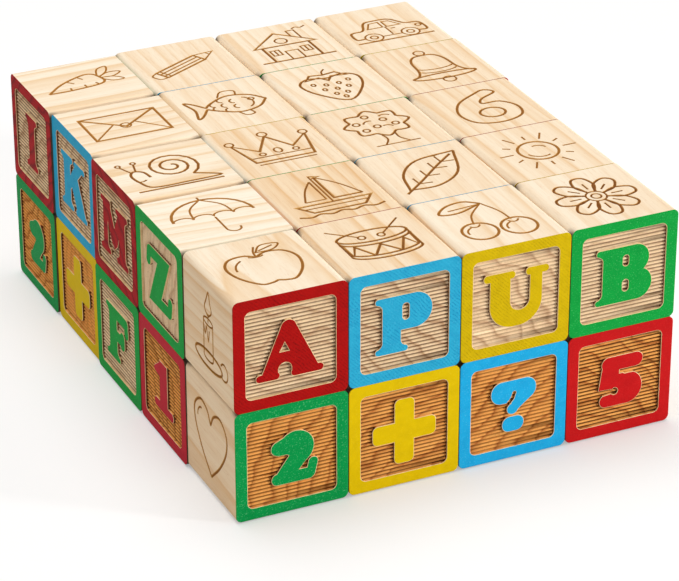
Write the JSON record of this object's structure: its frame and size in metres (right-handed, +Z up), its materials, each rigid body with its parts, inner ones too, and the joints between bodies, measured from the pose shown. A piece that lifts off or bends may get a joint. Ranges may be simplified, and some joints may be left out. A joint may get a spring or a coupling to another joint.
{
  "type": "alphabet block set",
  "caption": "Stack of loose pine toy cubes; painted rims and raised letters, digits or signs over ribbed sunk panels on two ends, picture-engraved sides.",
  "frame": {"origin": "centre of the stack's footprint, on the surface the lower layer stands on", "axes": "+Z up, -Y out of the short front face that shows the upright letters, +X along that face to its right, +Y along the long side of the stack"},
  "size_m": [0.1212, 0.151, 0.06],
  "materials": {
    "pine": "sanded pine, painted ends"
  },
  "bodies": {
    "block_t": {"block_t": "pine"},
    "block_v": {"block_v": "pine"},
    "block_w": {"block_w": "pine"},
    "block_x": {"block_x": "pine"},
    "block_y": {"block_y": "pine"},
    "block_a_second": {"block_a_second": "pine"},
    "block_e_second": {"block_e_second": "pine"},
    "block_o_second": {"block_o_second": "pine"},
    "block_f": {"block_f": "pine"},
    "block_i_second": {"block_i_second": "pine"},
    "block_u_second": {"block_u_second": "pine"},
    "block_s_second": {"block_s_second": "pine"},
    "block_t_second": {"block_t_second": "pine"},
    "block_r_second": {"block_r_second": "pine"},
    "block_n_second": {"block_n_second": "pine"},
    "block_l_second": {"block_l_second": "pine"},
    "block_d_second": {"block_d_second": "pine"},
    "block_h_second": {"block_h_second": "pine"},
    "block_c_second": {"block_c_second": "pine"},
    "block_m_second": {"block_m_second": "pine"},
    "block_a": {"block_a": "pine"},
    "block_p": {"block_p": "pine"},
    "block_u": {"block_u": "pine"},
    "block_b": {"block_b": "pine"},
    "block_z": {"block_z": "pine"},
    "block_c": {"block_c": "pine"},
    "block_d": {"block_d": "pine"},
    "block_e": {"block_e": "pine"},
    "block_m": {"block_m": "pine"},
    "block_g": {"block_g": "pine"},
    "block_h": {"block_h": "pine"},
    "block_j": {"block_j": "pine"},
    "block_k": {"block_k": "pine"},
    "block_l": {"block_l": "pine"},
    "block_n": {"block_n": "pine"},
    "block_o": {"block_o": "pine"},
    "block_i": {"block_i": "pine"},
    "block_q": {"block_q": "pine"},
    "block_r": {"block_r": "pine"},
    "block_s": {"block_s": "pine"}
  },
  "joints": [
    {"name": "block_v_lift", "type": "slide", "parent": "block_t", "child": "block_v", "axis": [0, 0, 1], "range_m": [0, 0.07]},
    {"name": "block_w_lift", "type": "slide", "parent": "block_t", "child": "block_w", "axis": [0, 0, 1], "range_m": [0, 0.07]},
    {"name": "block_x_lift", "type": "slide", "parent": "block_t", "child": "block_x", "axis": [0, 0, 1], "range_m": [0, 0.07]},
    {"name": "block_y_lift", "type": "slide", "parent": "block_t", "child": "block_y", "axis": [0, 0, 1], "range_m": [0, 0.07]},
    {"name": "block_a_second_lift", "type": "slide", "parent": "block_t", "child": "block_a_second", "axis": [0, 0, 1], "range_m": [0, 0.07]},
    {"name": "block_e_second_lift", "type": "slide", "parent": "block_t", "child": "block_e_second", "axis": [0, 0, 1], "range_m": [0, 0.07]},
    {"name": "block_o_second_lift", "type": "slide", "parent": "block_t", "child": "block_o_second", "axis": [0, 0, 1], "range_m": [0, 0.07]},
    {"name": "block_f_lift", "type": "slide", "parent": "block_t", "child": "block_f", "axis": [0, 0, 1], "range_m": [0, 0.07]},
    {"name": "block_i_second_lift", "type": "slide", "parent": "block_t", "child": "block_i_second", "axis": [0, 0, 1], "range_m": [0, 0.07]},
    {"name": "block_u_second_lift", "type": "slide", "parent": "block_t", "child": "block_u_second", "axis": [0, 0, 1], "range_m": [0, 0.07]},
    {"name": "block_s_second_lift", "type": "slide", "parent": "block_t", "child": "block_s_second", "axis": [0, 0, 1], "range_m": [0, 0.07]},
    {"name": "block_t_second_lift", "type": "slide", "parent": "block_t", "child": "block_t_second", "axis": [0, 0, 1], "range_m": [0, 0.07]},
    {"name": "block_r_second_lift", "type": "slide", "parent": "block_t", "child": "block_r_second", "axis": [0, 0, 1], "range_m": [0, 0.07]},
    {"name": "block_n_second_lift", "type": "slide", "parent": "block_t", "child": "block_n_second", "axis": [0, 0, 1], "range_m": [0, 0.07]},
    {"name": "block_l_second_lift", "type": "slide", "parent": "block_t", "child": "block_l_second", "axis": [0, 0, 1], "range_m": [0, 0.07]},
    {"name": "block_d_second_lift", "type": "slide", "parent": "block_t", "child": "block_d_second", "axis": [0, 0, 1], "range_m": [0, 0.07]},
    {"name": "block_h_second_lift", "type": "slide", "parent": "block_t", "child": "block_h_second", "axis": [0, 0, 1], "range_m": [0, 0.07]},
    {"name": "block_c_second_lift", "type": "slide", "parent": "block_t", "child": "block_c_second", "axis": [0, 0, 1], "range_m": [0, 0.07]},
    {"name": "block_m_second_lift", "type": "slide", "parent": "block_t", "child": "block_m_second", "axis": [0, 0, 1], "range_m": [0, 0.07]},
    {"name": "block_a_lift", "type": "slide", "parent": "block_t", "child": "block_a", "axis": [0, 0, 1], "range_m": [0, 0.04]},
    {"name": "block_p_lift", "type": "slide", "parent": "block_v", "child": "block_p", "axis": [0, 0, 1], "range_m": [0, 0.04]},
    {"name": "block_u_lift", "type": "slide", "parent": "block_w", "child": "block_u", "axis": [0, 0, 1], "range_m": [0, 0.04]},
    {"name": "block_b_lift", "type": "slide", "parent": "block_x", "child": "block_b", "axis": [0, 0, 1], "range_m": [0, 0.04]},
    {"name": "block_z_lift", "type": "slide", "parent": "block_y", "child": "block_z", "axis": [0, 0, 1], "range_m": [0, 0.04]},
    {"name": "block_c_lift", "type": "slide", "parent": "block_a_second", "child": "block_c", "axis": [0, 0, 1], "range_m": [0, 0.04]},
    {"name": "block_d_lift", "type": "slide", "parent": "block_e_second", "child": "block_d", "axis": [0, 0, 1], "range_m": [0, 0.04]},
    {"name": "block_e_lift", "type": "slide", "parent": "block_o_second", "child": "block_e", "axis": [0, 0, 1], "range_m": [0, 0.04]},
    {"name": "block_m_lift", "type": "slide", "parent": "block_f", "child": "block_m", "axis": [0, 0, 1], "range_m": [0, 0.04]},
    {"name": "block_g_lift", "type": "slide", "parent": "block_i_second", "child": "block_g", "axis": [0, 0, 1], "range_m": [0, 0.04]},
    {"name": "block_h_lift", "type": "slide", "parent": "block_u_second", "child": "block_h", "axis": [0, 0, 1], "range_m": [0, 0.04]},
    {"name": "block_j_lift", "type": "slide", "parent": "block_s_second", "child": "block_j", "axis": [0, 0, 1], "range_m": [0, 0.04]},
    {"name": "block_k_lift", "type": "slide", "parent": "block_t_second", "child": "block_k", "axis": [0, 0, 1], "range_m": [0, 0.04]},
    {"name": "block_l_lift", "type": "slide", "parent": "block_r_second", "child": "block_l", "axis": [0, 0, 1], "range_m": [0, 0.04]},
    {"name": "block_n_lift", "type": "slide", "parent": "block_n_second", "child": "block_n", "axis": [0, 0, 1], "range_m": [0, 0.04]},
    {"name": "block_o_lift", "type": "slide", "parent": "block_l_second", "child": "block_o", "axis": [0, 0, 1], "range_m": [0, 0.04]},
    {"name": "block_i_lift", "type": "slide", "parent": "block_d_second", "child": "block_i", "axis": [0, 0, 1], "range_m": [0, 0.04]},
    {"name": "block_q_lift", "type": "slide", "parent": "block_h_second", "child": "block_q", "axis": [0, 0, 1], "range_m": [0, 0.04]},
    {"name": "block_r_lift", "type": "slide", "parent": "block_c_second", "child": "block_r", "axis": [0, 0, 1], "range_m": [0, 0.04]},
    {"name": "block_s_lift", "type": "slide", "parent": "block_m_second", "child": "block_s", "axis": [0, 0, 1], "range_m": [0, 0.04]}
  ]
}
